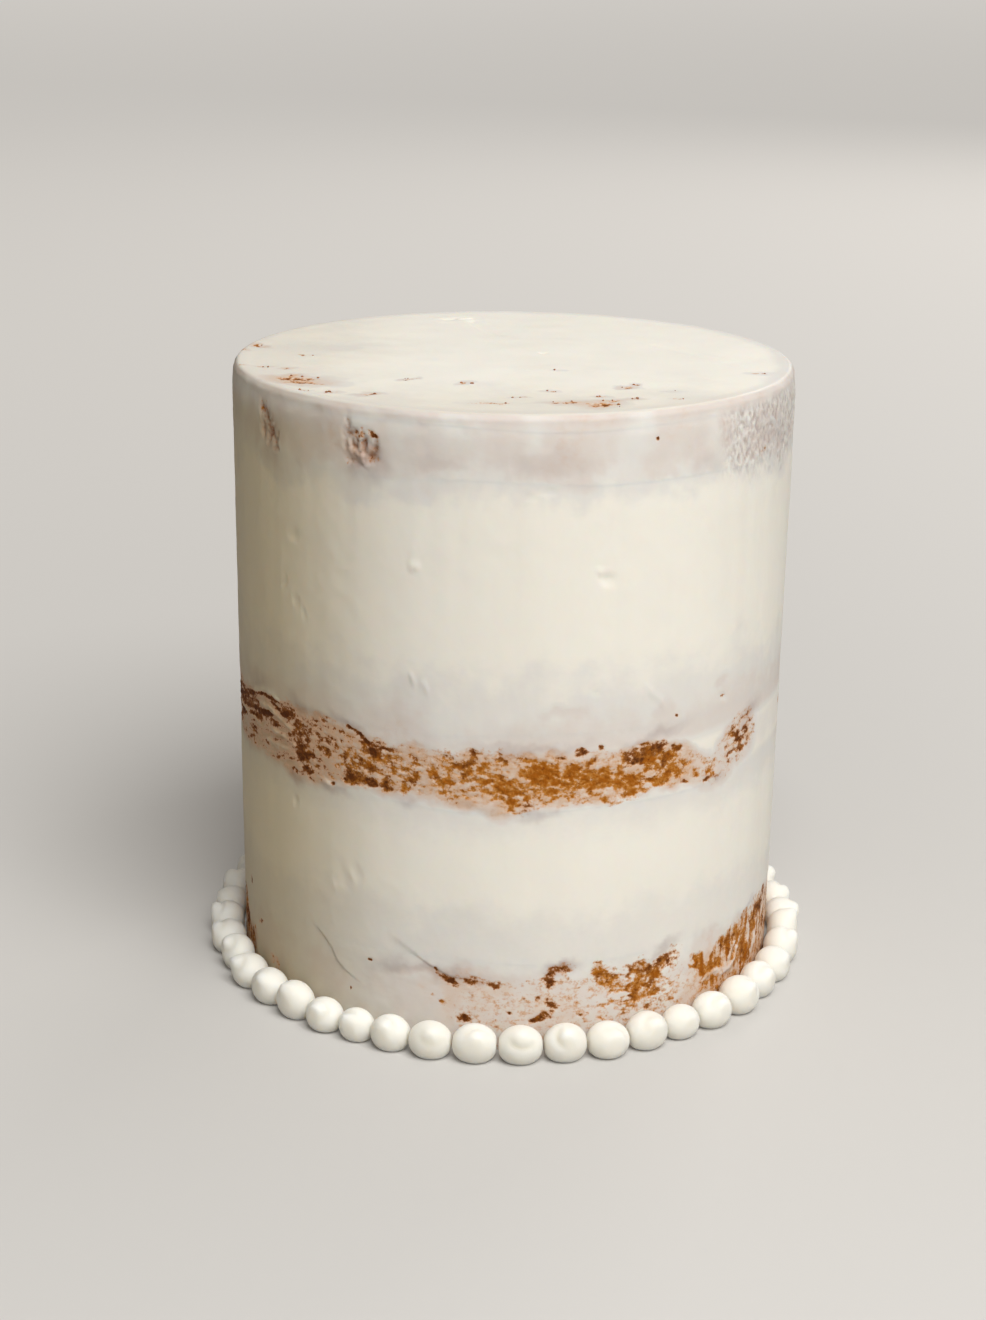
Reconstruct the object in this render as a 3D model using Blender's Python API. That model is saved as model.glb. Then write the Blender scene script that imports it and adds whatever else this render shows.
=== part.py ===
"""Tall semi-naked layer cake with a border of piped icing beads.

Three sponge layers and two bands of buttercream are stacked under a spread icing top.
The stack is scraped flush at the side, and a ring of piped beads closes its foot.
Metres, +Z up, origin on the cake's axis at the surface it stands on.
"""

import math
import random

import bmesh
import bpy
from mathutils import Matrix, Vector

# The stack, from a six inch tin
CAKE_DIAMETER = 0.154
CAKE_HEIGHT = 0.171
SPONGE_BOTTOM_THICKNESS = 0.025
CREAM_LOWER_THICKNESS = 0.043
SPONGE_MIDDLE_THICKNESS = 0.020
CREAM_UPPER_THICKNESS = 0.065
SPONGE_TOP_THICKNESS = 0.014
ICING_EDGE_RADIUS = 0.0024
LAYER_GAP = 0.0003

# How far hand work strays from a true cylinder
SCRAPE_DEPTH = 0.0004
SPONGE_SINK = 0.0003
CRUMB_DEPTH = 0.0004
SEAM_WAVE = 0.0010
TOP_SWEEP = 0.0005

# The piped border. Counted anticlockwise from the front left, the first beads each take their
# own share of the ring, against 1 for an even one, and the others divide what is left.
BEAD_COUNT = 45
FRONT_SHARES = (
    *(1.01, 1.01, 1.02, 1.02, 0.94, 0.88),
    *(0.95, 1.02, 1.05, 1.05, 1.02, 1.00),
    *(1.01, 0.95, 1.01, 1.03, 0.98),
)
FRONT_LEFT = math.radians(-162.8)
BEAD_WIDTH = 0.0121
BEAD_DEPTH = 0.0096
BEAD_HEIGHT = 0.0098
BEAD_SPREAD = 0.04
PEAK_LENGTH = 0.0022

# Mesh fineness
SIDES = 64
BEAD_MERIDIANS = 10
BEAD_PARALLELS = 8

CAKE_RADIUS = CAKE_DIAMETER / 2
EVEN_SHARE = 2 * math.pi / BEAD_COUNT

SPONGE_COLOUR = (0.46, 0.20, 0.05, 1.0)
CREAM_COLOUR = (0.85, 0.80, 0.69, 1.0)
ICING_COLOUR = (0.87, 0.81, 0.70, 1.0)
BEAD_COLOUR = (0.92, 0.90, 0.83, 1.0)


def clear_scene():
    for obj in list(bpy.data.objects):
        bpy.data.objects.remove(obj, do_unlink=True)


def finish(name, colour, roughness):
    material = bpy.data.materials.new(name)
    material.use_nodes = True
    shader = material.node_tree.nodes["Principled BSDF"]
    shader.inputs["Base Color"].default_value = colour
    shader.inputs["Roughness"].default_value = roughness
    shader.inputs["Metallic"].default_value = 0.0
    material.diffuse_color = colour
    return material


def add_object(name, bm, material, collection):
    bmesh.ops.recalc_face_normals(bm, faces=bm.faces)
    mesh = bpy.data.meshes.new(name)
    bm.to_mesh(mesh)
    bm.free()
    mesh.materials.append(material)
    mesh.shade_smooth()
    mesh.set_sharp_from_angle(angle=math.radians(40))
    obj = bpy.data.objects.new(name, mesh)
    collection.objects.link(obj)
    return obj


def seam_wave(angle, seam):
    """Rise and fall of the seam between two layers, which never meet on a level line."""
    slow = math.sin(3 * angle + 1.7 * seam)
    quick = math.sin(8 * angle + 2.9 * seam * seam)
    return SEAM_WAVE * (0.65 * slow + 0.35 * quick)


def scrape(angle, height):
    """Depth of the scraped side below the true cylinder, at most SCRAPE_DEPTH."""
    turn = math.sin(2 * angle + 0.6 + 9 * height)
    drift = math.sin(5 * angle - 31 * height)
    return SCRAPE_DEPTH * (0.5 + 0.3 * turn + 0.2 * drift)


def cylinder(low, high, rows):
    """A closed cylinder with its side cut into rows and a narrow ring round each cap."""
    bm = bmesh.new()
    bmesh.ops.create_cone(
        bm,
        cap_ends=True,
        segments=SIDES,
        radius1=CAKE_RADIUS,
        radius2=CAKE_RADIUS,
        depth=high - low,
        matrix=Matrix.Translation((0, 0, (low + high) / 2)),
    )
    caps = [face for face in bm.faces if len(face.verts) == SIDES]
    uprights = [edge for edge in bm.edges if not any(face in caps for face in edge.link_faces)]
    bmesh.ops.inset_individual(bm, faces=caps, thickness=CAKE_RADIUS * 0.12)
    bmesh.ops.subdivide_edges(bm, edges=uprights, cuts=rows - 1)
    return bm


def at_side(vertex):
    return math.hypot(vertex.co.x, vertex.co.y) > CAKE_RADIUS * 0.97


def shape_side(bm, low, high, low_seam, high_seam, crumb):
    """Lets the seams wave, scrapes the side, and roughens it where it is sponge."""
    for vertex in bm.verts:
        if not at_side(vertex):
            continue
        angle = math.atan2(vertex.co.y, vertex.co.x)
        share = (vertex.co.z - low) / (high - low)
        if low_seam:
            vertex.co.z += (1 - share) * seam_wave(angle, low_seam)
        if high_seam:
            vertex.co.z += share * seam_wave(angle, high_seam)
        depth = scrape(angle, vertex.co.z)
        if crumb:
            depth += SPONGE_SINK + crumb.uniform(0, CRUMB_DEPTH)
        vertex.co.xy *= (CAKE_RADIUS - depth) / CAKE_RADIUS


def cake_layer(name, low, high, rows, seams, material, collection, crumb=None):
    bm = cylinder(low, high, rows)
    shape_side(bm, low, high, seams[0], seams[1], crumb)
    return add_object(name, bm, material, collection)


def icing_top(low, high, low_seam, material, collection):
    """The spread top: a rounded edge, and a face that a palette knife left a little uneven."""
    bm = cylinder(low, high, 1)
    face = max(bm.faces, key=lambda each: (len(each.verts) == SIDES, each.calc_center_median().z))
    bmesh.ops.inset_individual(bm, faces=[face], thickness=CAKE_RADIUS * 0.34)
    rim = [
        edge
        for edge in bm.edges
        if all(at_side(vertex) and vertex.co.z > high - LAYER_GAP for vertex in edge.verts)
    ]
    bmesh.ops.bevel(
        bm,
        geom=rim,
        offset=ICING_EDGE_RADIUS,
        segments=3,
        profile=0.5,
        affect="EDGES",
    )
    for vertex in bm.verts:
        x, y, z = vertex.co
        angle = math.atan2(y, x)
        reach = math.hypot(x, y) / CAKE_RADIUS
        if z > (low + high) / 2:
            sweep = math.sin(6 * reach + 2 * angle) * math.sin(math.pi * reach)
            vertex.co.z -= TOP_SWEEP * (0.5 + 0.5 * sweep)
        elif reach > 0.97:
            vertex.co.z += seam_wave(angle, low_seam)
        if reach > 0.97:
            vertex.co.xy *= (CAKE_RADIUS - scrape(angle, z)) / CAKE_RADIUS
    return add_object("icing_top", bm, material, collection)


def ring_shares():
    """The angle that each bead takes up on the ring."""
    front = [share * EVEN_SHARE for share in FRONT_SHARES]
    others = BEAD_COUNT - len(front)
    return front + [(2 * math.pi - sum(front)) / others] * others


def bead(name, angle, share, draw, material, collection):
    """One piped bead: a ball set down on its foot, with the soft peak left by the nozzle.

    Local axes are outward from the cake, along the ring, and up. The bead is pressed flat
    where it meets its two neighbours and the cake.
    """
    size = share / EVEN_SHARE
    width = BEAD_WIDTH * size * (1 + draw.uniform(-BEAD_SPREAD, BEAD_SPREAD) / 2)
    depth = BEAD_DEPTH * size * (1 + draw.uniform(-BEAD_SPREAD, BEAD_SPREAD))
    height = BEAD_HEIGHT * math.sqrt(size) * (1 + draw.uniform(-BEAD_SPREAD, BEAD_SPREAD))
    length = PEAK_LENGTH * draw.uniform(0.5, 1.0)
    lift = math.radians(draw.uniform(28, 54))
    swing = math.radians(draw.uniform(-24, 24))
    peak = Vector(
        (
            math.cos(lift) * math.cos(swing),
            math.cos(lift) * math.sin(swing),
            math.sin(lift),
        )
    )
    bm = bmesh.new()
    bmesh.ops.create_uvsphere(
        bm,
        u_segments=BEAD_MERIDIANS,
        v_segments=BEAD_PARALLELS,
        radius=1,
        matrix=peak.to_track_quat("Z", "Y").to_matrix().to_4x4(),
    )
    belly = 0.46 * height
    wall = math.tan(share / 2)
    for vertex in bm.verts:
        towards = max(0.0, vertex.co.dot(peak))
        point = Vector(
            (
                vertex.co.x * depth / 2,
                vertex.co.y * width / 2,
                vertex.co.z * (height - belly) + belly,
            )
        )
        point += peak * length * towards**7
        point.z = max(point.z, 0.0)
        point.x = max(point.x + CAKE_RADIUS + depth / 2, CAKE_RADIUS + LAYER_GAP)
        reach = point.x * wall - LAYER_GAP / 2
        point.y = min(max(point.y, -reach), reach)
        vertex.co = point
    bmesh.ops.rotate(bm, verts=bm.verts, matrix=Matrix.Rotation(angle, 3, "Z"))
    return add_object(name, bm, material, collection)


def build():
    clear_scene()
    collection = bpy.data.collections.new("naked_cake")
    bpy.context.scene.collection.children.link(collection)

    sponge = finish("sponge", SPONGE_COLOUR, 0.85)
    cream = finish("buttercream", CREAM_COLOUR, 0.5)
    icing = finish("icing", ICING_COLOUR, 0.5)
    piped = finish("piped_icing", BEAD_COLOUR, 0.45)

    stack = (
        ("sponge_bottom", SPONGE_BOTTOM_THICKNESS, 3, sponge),
        ("cream_lower", CREAM_LOWER_THICKNESS, 4, cream),
        ("sponge_middle", SPONGE_MIDDLE_THICKNESS, 3, sponge),
        ("cream_upper", CREAM_UPPER_THICKNESS, 5, cream),
        ("sponge_top", SPONGE_TOP_THICKNESS, 2, sponge),
    )
    baking = random.Random(11)
    level = 0.0
    for number, (name, thickness, rows, material) in enumerate(stack):
        low = level + (LAYER_GAP / 2 if number else 0.0)
        level += thickness
        crumb = baking if material is sponge else None
        seams = (number, number + 1)
        cake_layer(name, low, level - LAYER_GAP / 2, rows, seams, material, collection, crumb)
    icing_top(level + LAYER_GAP / 2, CAKE_HEIGHT, len(stack), icing, collection)

    piping = random.Random(7)
    edge = FRONT_LEFT
    for number, share in enumerate(ring_shares(), 1):
        bead(f"bead_{number:02d}", edge + share / 2, share, piping, piped, collection)
        edge += share


build()
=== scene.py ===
"""Tall semi-naked layer cake with a border of piped icing beads, dressed over its solids."""

import itertools
import math
import random

import bmesh
import bpy
import numpy as np
from mathutils import Matrix, Vector


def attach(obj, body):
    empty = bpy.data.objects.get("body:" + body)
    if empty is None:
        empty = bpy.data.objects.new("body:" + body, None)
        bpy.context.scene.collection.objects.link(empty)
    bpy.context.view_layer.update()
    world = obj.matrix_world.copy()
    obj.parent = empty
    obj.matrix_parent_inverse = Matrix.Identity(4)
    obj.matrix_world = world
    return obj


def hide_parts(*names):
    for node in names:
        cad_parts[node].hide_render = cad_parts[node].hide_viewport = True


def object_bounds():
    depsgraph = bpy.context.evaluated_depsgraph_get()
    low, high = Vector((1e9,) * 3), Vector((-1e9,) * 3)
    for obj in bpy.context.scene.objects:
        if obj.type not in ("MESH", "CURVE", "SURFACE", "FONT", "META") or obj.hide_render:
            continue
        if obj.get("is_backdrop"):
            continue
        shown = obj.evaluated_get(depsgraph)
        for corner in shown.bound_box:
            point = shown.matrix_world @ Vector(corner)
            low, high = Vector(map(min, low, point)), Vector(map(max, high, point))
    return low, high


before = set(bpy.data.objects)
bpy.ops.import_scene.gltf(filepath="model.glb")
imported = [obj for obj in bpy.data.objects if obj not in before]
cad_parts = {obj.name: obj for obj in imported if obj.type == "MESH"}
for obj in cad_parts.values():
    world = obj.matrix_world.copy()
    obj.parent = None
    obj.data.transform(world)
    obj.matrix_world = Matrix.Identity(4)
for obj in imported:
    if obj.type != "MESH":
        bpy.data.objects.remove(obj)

cad_low, cad_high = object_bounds()


# Studio. The cake stands on a pale matt floor that fades into a pale sky. One large soft
# window lights it from the front right, and two walls throw a little of its light back.
MM = 0.001
FLOOR_WIDTH = 30.0
FLOOR_TONE = (0.54, 0.52, 0.49, 1)
SKY_TONE = (0.64, 0.62, 0.59, 1)
ROOM_LIGHT = (0.050, 0.037, 0.0225, 1)
HALF_FADED_AT = 1.1
LIGHTS_AIM_AT = Vector((0, 0, 80 * MM))
CAMERA_PLACE = Vector((-4.7 * MM, -583.6 * MM, 279.2 * MM))
CAMERA_PITCH = math.radians(18.58)
CAMERA_ROLL = math.radians(0.705)


def add(tree, kind, **settings):
    node = tree.nodes.new(kind)
    for label, value in settings.items():
        setattr(node, label, value)
    return node


def wire(tree, *pairs):
    for source, target in pairs:
        tree.links.new(source, target)


def new_finish(name):
    """A material, with its node tree and its shader."""
    material = bpy.data.materials.new(name)
    material.use_nodes = True
    return material, material.node_tree, material.node_tree.nodes["Principled BSDF"]


bpy.ops.object.select_all(action="DESELECT")
bpy.ops.mesh.primitive_plane_add(size=FLOOR_WIDTH, location=(0, 0, 0))
floor = bpy.context.object
floor.name = "floor"
floor_paint, floor_tree, floor_shader = new_finish("pale_floor")
floor_shader.inputs["Base Color"].default_value = FLOOR_TONE
floor_shader.inputs["Roughness"].default_value = 0.7
floor_shader.inputs["Specular IOR Level"].default_value = 0.25
floor_shader.inputs["Emission Color"].default_value = SKY_TONE
floor_place = add(floor_tree, "ShaderNodeTexCoord")
floor_seen = add(floor_tree, "ShaderNodeLightPath")
far_off = add(floor_tree, "ShaderNodeVectorMath", operation="LENGTH")
further = add(floor_tree, "ShaderNodeMath", operation="ADD")
further.inputs[1].default_value = HALF_FADED_AT
far_share = add(floor_tree, "ShaderNodeMath", operation="DIVIDE")
haze = add(floor_tree, "ShaderNodeMath", operation="MULTIPLY")
wire(
    floor_tree,
    (floor_place.outputs["Object"], far_off.inputs[0]),
    (far_off.outputs["Value"], further.inputs[0]),
    (far_off.outputs["Value"], far_share.inputs[0]),
    (further.outputs[0], far_share.inputs[1]),
    (far_share.outputs[0], haze.inputs[0]),
    (floor_seen.outputs["Is Camera Ray"], haze.inputs[1]),
    (haze.outputs[0], floor_shader.inputs["Emission Strength"]),
)
floor.data.materials.append(floor_paint)
floor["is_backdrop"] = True


def soft_light(name, azimuth, elevation, distance, size, power, colour):
    """A square soft light that faces the cake. Azimuth is from the front towards the right."""
    turn = math.radians(azimuth)
    rise = math.radians(elevation)
    level = math.cos(rise)
    way = Vector((math.sin(turn) * level, -math.cos(turn) * level, math.sin(rise)))
    light = bpy.data.lights.new(name, "AREA")
    light.shape = "SQUARE"
    light.size = size
    light.energy = power
    light.color = colour
    lamp = bpy.data.objects.new(name, light)
    lamp.location = LIGHTS_AIM_AT + way * distance
    lamp.rotation_mode = "QUATERNION"
    lamp.rotation_quaternion = way.to_track_quat("Z", "Y")
    bpy.context.scene.collection.objects.link(lamp)


soft_light("window", 25, 54.5, 2.4, 1.7, 77.5, (0.970, 0.98, 0.99))
soft_light("left_wall", -132, 20, 2.4, 1.2, 0.4, (1.0, 0.92, 0.80))
soft_light("rear_wall", 154, 30, 2.6, 0.9, 11, (1.0, 0.97, 0.93))

sky = bpy.data.worlds.new("pale_sky")
sky.use_nodes = True
sky_mix = add(sky.node_tree, "ShaderNodeMix", data_type="RGBA")
sky_mix.inputs[6].default_value = ROOM_LIGHT
sky_mix.inputs[7].default_value = SKY_TONE
sky_seen = add(sky.node_tree, "ShaderNodeLightPath")
wire(
    sky.node_tree,
    (sky_seen.outputs["Is Camera Ray"], sky_mix.inputs[0]),
    (sky_mix.outputs[2], sky.node_tree.nodes["Background"].inputs["Color"]),
)
bpy.context.scene.world = sky
bpy.context.scene.view_settings.view_transform = "Standard"

lens = bpy.data.cameras.new("camera")
lens.sensor_width = 36
lens.lens = 58.7
lens.clip_start = 0.02
camera = bpy.data.objects.new("camera", lens)
camera.matrix_world = (
    Matrix.Translation(CAMERA_PLACE)
    @ Matrix.Rotation(math.pi / 2 - CAMERA_PITCH, 4, "X")
    @ Matrix.Rotation(CAMERA_ROLL, 4, "Z")
)
bpy.context.scene.collection.objects.link(camera)
bpy.context.scene.camera = camera


# The finish of the coat. Thick icing is ivory. Scraped thin it turns cool grey and then a
# pinkish beige as the sponge comes through, and where it is gone the golden crumb shows, with
# brown where the crust was and icing pressed into its holes.
def new_group(name, inputs, outputs):
    group = bpy.data.node_groups.new(name, "ShaderNodeTree")
    for label, kind, value in inputs:
        socket = group.interface.new_socket(label, in_out="INPUT", socket_type=kind)
        socket.default_value = value
    for label, kind in outputs:
        group.interface.new_socket(label, in_out="OUTPUT", socket_type=kind)
    return group, group.nodes.new("NodeGroupInput"), group.nodes.new("NodeGroupOutput")


def speckle(tree, source, scale, detail, stretch=(1, 1, 1), roughness=0.6):
    """Noise on Object coordinates, at a scale per metre."""
    mapping = add(tree, "ShaderNodeMapping")
    mapping.inputs["Scale"].default_value = stretch
    grain = add(tree, "ShaderNodeTexNoise")
    grain.inputs["Scale"].default_value = scale
    grain.inputs["Detail"].default_value = detail
    grain.inputs["Roughness"].default_value = roughness
    wire(tree, (source, mapping.inputs["Vector"]), (mapping.outputs[0], grain.inputs["Vector"]))
    return grain.outputs["Fac"]


def spread(tree, source, low, high, to_low=0.0, to_high=1.0):
    """Runs smoothly from to_low, where the source is low, to to_high, where it is high."""
    node = add(tree, "ShaderNodeMapRange", interpolation_type="SMOOTHSTEP")
    ends = (("From Min", low), ("From Max", high), ("To Min", to_low), ("To Max", to_high))
    for label, value in ends:
        node.inputs[label].default_value = value
    wire(tree, (source, node.inputs["Value"]))
    return node.outputs["Result"]


def maths(tree, operation, first, second):
    node = add(tree, "ShaderNodeMath", operation=operation)
    for socket, value in zip(node.inputs, (first, second)):
        if isinstance(value, (int, float)):
            socket.default_value = value
        else:
            wire(tree, (value, socket))
    return node.outputs[0]


def blend(tree, share, first, second, way="MIX"):
    node = add(tree, "ShaderNodeMix", data_type="RGBA", blend_type=way)
    wanted = (("Factor", "VALUE", share), ("A", "RGBA", first), ("B", "RGBA", second))
    for label, kind, value in wanted:
        socket = next(s for s in node.inputs if s.name == label and s.type == kind)
        if isinstance(value, tuple):
            socket.default_value = (*value, 1)
        elif isinstance(value, (int, float)):
            socket.default_value = value
        else:
            wire(tree, (value, socket))
    return next(s for s in node.outputs if s.type == "RGBA")


def ramp(tree, share, tones):
    """Runs through tones, each with the share at which it is reached."""
    colour = tones[0][1]
    for (start, tone), (end, following) in zip(tones, tones[1:]):
        colour = blend(tree, spread(tree, share, start, end), colour, following)
    return colour


FILM_TONES = (
    (0.00, (0.862, 0.822, 0.730)),
    (0.25, (0.748, 0.718, 0.668)),
    (0.50, (0.715, 0.650, 0.592)),
    (0.75, (0.700, 0.580, 0.492)),
    (1.00, (0.655, 0.472, 0.345)),
)
GOLDEN_TONES = (
    (0.45, (0.59, 0.300, 0.120)),
    (0.68, (0.46, 0.180, 0.028)),
    (1.00, (0.33, 0.092, 0.002)),
)
RUST_TONES = (
    (0.45, (0.42, 0.205, 0.095)),
    (0.65, (0.24, 0.078, 0.015)),
    (1.00, (0.10, 0.026, 0.003)),
)
DRAWN_CREAM = (0.800, 0.752, 0.655)
THICK_CREAM = (0.890, 0.852, 0.762)
PAINTED_WARM_SHADE_TINT = (0.79, 0.71, 0.54)
CRUST_AND_SHADE_TINT = (0.60, 0.53, 0.54)
SOAKED_FILM = (0.640, 0.400, 0.250)
CRUMB_HOLE_SHADE = (0.16, 0.034, 0.001)
OWN_MARKS = ("bare", "thin", "rust", "painted_warm_shade", "crust_and_shade")

coat, coat_in, coat_out = new_group(
    "scraped_coat",
    (
        ("Place", "NodeSocketVector", (0, 0, 0)),
        ("Bare", "NodeSocketFloat", -1.0),
        ("Thin", "NodeSocketFloat", 0.0),
        ("Rust", "NodeSocketFloat", 0.0),
        ("Painted_Warm_Shade", "NodeSocketFloat", 0.0),
        ("Crust_And_Shade", "NodeSocketFloat", 0.0),
    ),
    (
        ("Color", "NodeSocketColor"),
        ("Roughness", "NodeSocketFloat"),
        ("Height", "NodeSocketFloat"),
    ),
)
spots = coat_in.outputs["Place"]
fine = speckle(coat, spots, 1500, 3)
grain = speckle(coat, spots, 560, 5, (0.85, 0.85, 1.3), 0.65)
patchy = speckle(coat, spots, 110, 4)
drawn = speckle(coat, spots, 60, 3, (1, 1, 0.06))
slow = speckle(coat, spots, 22, 2)


def scatter(source, amount):
    return maths(coat, "MULTIPLY", maths(coat, "SUBTRACT", source, 0.5), amount)


mottling = maths(coat, "ADD", scatter(patchy, 0.5), scatter(grain, 0.9))
mottling = maths(coat, "MULTIPLY", mottling, spread(coat, coat_in.outputs["Thin"], 0.3, 1.0, 0.12, 0.9))
film_depth = maths(coat, "ADD", coat_in.outputs["Thin"], mottling)
film = ramp(coat, film_depth, FILM_TONES)
body = spread(coat, coat_in.outputs["Thin"], 0.1, 0.6, 1, 0)
drawn_share = maths(coat, "MULTIPLY", spread(coat, drawn, 0.35, 0.7, 0, 0.22), body)
film = blend(coat, drawn_share, film, DRAWN_CREAM)
slow_share = maths(coat, "MULTIPLY", spread(coat, slow, 0.3, 0.7, 0, 0.25), body)
film = blend(coat, slow_share, film, THICK_CREAM)
# Painted shade: the film is darkened and warmed where this mark is set, standing in for the shade on
# the side away from the window.
film = blend(coat, coat_in.outputs["Painted_Warm_Shade"], film, PAINTED_WARM_SHADE_TINT, "MULTIPLY")

worn = maths(coat, "ADD", coat_in.outputs["Bare"], scatter(grain, 1.5))
worn = maths(coat, "ADD", worn, scatter(fine, 1.1))
golden = ramp(coat, worn, GOLDEN_TONES)
rusty = ramp(coat, worn, RUST_TONES)
rust = maths(coat, "ADD", coat_in.outputs["Rust"], scatter(speckle(coat, spots, 300, 4), 1.8))
crumb_tone = blend(coat, spread(coat, rust, 0.25, 0.75), golden, rusty)
# Painted shade: near-black specks for the crumb's open holes.
specks = spread(coat, speckle(coat, spots, 1000, 2), 0.57, 0.70, 0, 0.7)
crumb_tone = blend(coat, specks, crumb_tone, CRUMB_HOLE_SHADE)
through = blend(coat, spread(coat, worn, 0.06, 0.46), film, SOAKED_FILM)
# Crust and painted shade: the film is darkened to mauve over dark crust, and in hollows as painted
# shade.
through = blend(coat, coat_in.outputs["Crust_And_Shade"], through, CRUST_AND_SHADE_TINT, "MULTIPLY")
wire(
    coat,
    (blend(coat, spread(coat, worn, 0.38, 0.60), through, crumb_tone), coat_out.inputs["Color"]),
    (spread(coat, worn, 0.3, 0.7, 0.50, 0.80), coat_out.inputs["Roughness"]),
)
open_share = spread(coat, worn, 0.2, 0.6)
height_of_crumb = maths(coat, "MULTIPLY", scatter(fine, 1.0), maths(coat, "MULTIPLY", open_share, 0.7))
height_of_film = maths(coat, "MULTIPLY", grain, maths(coat, "MULTIPLY", coat_in.outputs["Thin"], 0.12))
height_of_icing = maths(coat, "MULTIPLY", patchy, 0.05)
total = maths(coat, "ADD", maths(coat, "ADD", height_of_crumb, height_of_film), height_of_icing)
wire(coat, (total, coat_out.inputs["Height"]))


def coated(name):
    """A material for one kind of layer: the shared coat over its own soft, slightly waxy body."""
    material, tree, shader = new_finish(name)
    shader.inputs["Subsurface Radius"].default_value = (1.0, 0.62, 0.38)
    shader.inputs["Subsurface Scale"].default_value = 1.2 * MM
    shader.inputs["Specular IOR Level"].default_value = 0.16
    group = add(tree, "ShaderNodeGroup")
    group.node_tree = coat
    coords = add(tree, "ShaderNodeTexCoord")
    marks = {}
    for mark in OWN_MARKS:
        marks[mark] = add(tree, "ShaderNodeAttribute", attribute_name=mark).outputs["Fac"]
        wire(tree, (marks[mark], group.inputs[mark.title()]))
    waxy = spread(tree, marks["bare"], 0.15, 0.45, 0.32, 0.02)
    bump = add(tree, "ShaderNodeBump")
    bump.inputs["Strength"].default_value = 0.8
    bump.inputs["Distance"].default_value = 0.4 * MM
    wire(
        tree,
        (coords.outputs["Object"], group.inputs["Place"]),
        (group.outputs["Color"], shader.inputs["Base Color"]),
        (group.outputs["Roughness"], shader.inputs["Roughness"]),
        (group.outputs["Height"], bump.inputs["Height"]),
        (waxy, shader.inputs["Subsurface Weight"]),
        (bump.outputs["Normal"], shader.inputs["Normal"]),
    )
    return material


finishes = {slot: coated(slot) for slot in ("sponge", "buttercream", "icing")}


# The stack and its skin. The baker fills and stacks the layers, coats them, and holds a
# straight scraper against the side while the cake turns, so one skin runs over every layer.
# It is made whole here, worked as one surface, and then parted at the seams of the layers.
CAKE_RADIUS = 77 * MM
COLUMNS = 1120
EDGE_RADIUS = 2.5 * MM
SEAM_WAVE = 1 * MM
SEAM_ROOM = 0.15 * MM
RADIUS_MM = CAKE_RADIUS / MM

# Each layer has its thickness, the rows of faces up its side, and its finish.
LAYERS = (
    ("sponge_bottom", 25 * MM, 70, "sponge"),
    ("cream_lower", 43 * MM, 50, "buttercream"),
    ("sponge_middle", 20 * MM, 60, "sponge"),
    ("cream_upper", 65 * MM, 78, "buttercream"),
    ("sponge_top", 14 * MM, 34, "sponge"),
    ("icing_top", 4 * MM, 3, "icing"),
)
seams = [0.0]
for layer, thickness, rows, slot in LAYERS:
    seams.append(seams[-1] + thickness)

bpy.ops.object.select_all(action="DESELECT")
bpy.ops.mesh.primitive_circle_add(vertices=COLUMNS, radius=CAKE_RADIUS, fill_type="NOTHING")
skin = bpy.context.object
skin.name = "skin"
for layer, thickness, rows, slot in LAYERS:
    skin.data.materials.append(finishes[slot].copy())
bpy.ops.object.mode_set(mode="EDIT")
bpy.ops.mesh.select_all(action="SELECT")
for layer, thickness, rows, slot in LAYERS:
    bpy.ops.mesh.extrude_region_move(TRANSFORM_OT_translate={"value": (0, 0, thickness)})
bpy.ops.mesh.edge_face_add()
bpy.ops.mesh.bevel(offset=EDGE_RADIUS, segments=7, profile=0.5, affect="EDGES")

cage = bmesh.from_edit_mesh(skin.data)
for low, high, (layer, thickness, rows, slot) in zip(seams, seams[1:], LAYERS):
    middle = (low + high - (EDGE_RADIUS if layer == "icing_top" else 0)) / 2
    bpy.ops.mesh.select_all(action="DESELECT")
    for edge in cage.edges:
        ends = sorted(vertex.co.z for vertex in edge.verts)
        edge.select = ends[1] - ends[0] > 1 * MM and ends[0] < middle < ends[1]
    bmesh.update_edit_mesh(skin.data)
    bpy.ops.mesh.subdivide(number_cuts=rows - 1)

bpy.ops.mesh.select_all(action="DESELECT")
lid = next(face for face in cage.faces if len(face.verts) > 4)
rim = list(lid.edges)
cage.faces.remove(lid)
for edge in rim:
    edge.select = True
bmesh.update_edit_mesh(skin.data)
bpy.ops.mesh.fill_grid(span=COLUMNS // 4)
for face in cage.faces:
    height = face.calc_center_median().z
    face.material_index = sum(height > seam for seam in seams[1:-1])
bpy.ops.mesh.select_all(action="SELECT")
bpy.ops.mesh.normals_make_consistent(inside=False)
bpy.ops.object.mode_set(mode="OBJECT")

place = np.zeros(len(skin.data.vertices) * 3, np.float32)
skin.data.vertices.foreach_get("co", place)
place = place.reshape(-1, 3).astype(float)
angle = np.arctan2(place[:, 1], place[:, 0])
reach = np.hypot(place[:, 0], place[:, 1])
side = reach > CAKE_RADIUS - 0.6 * EDGE_RADIUS

# A seam is where the coat changes from layer to layer, and it never runs level.
lift = np.zeros(len(place))
for number, seam in enumerate(seams[1:-1], 1):
    wave = SEAM_WAVE * (
        0.65 * np.sin(3 * angle + 1.7 * number)
        + 0.35 * np.sin(8 * angle + 2.9 * number * number)
    )
    below = seams[number - 1]
    above = seams[number + 1] - EDGE_RADIUS * (number == len(LAYERS) - 1)
    share = np.where(
        place[:, 2] < seam,
        (place[:, 2] - below) / (seam - below),
        (above - place[:, 2]) / (above - seam),
    )
    lift += wave * np.clip(share, 0, 1) * side
place[:, 2] += lift

# Places on the skin are read as millimetres: along the side from the front middle towards the
# right, and up. Lumps are noise in three dimensions, so that nothing meets in a line behind.
LATTICE = 32
turned = np.degrees(np.arctan2(place[:, 0], -place[:, 1]))
across = np.radians(turned) * CAKE_RADIUS / MM
up = place[:, 2] / MM
plan_x, plan_y = place[:, 0] / MM, place[:, 1] / MM
on_top = (reach < CAKE_RADIUS - 0.5 * EDGE_RADIUS) & (place[:, 2] > seams[-2])


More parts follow.
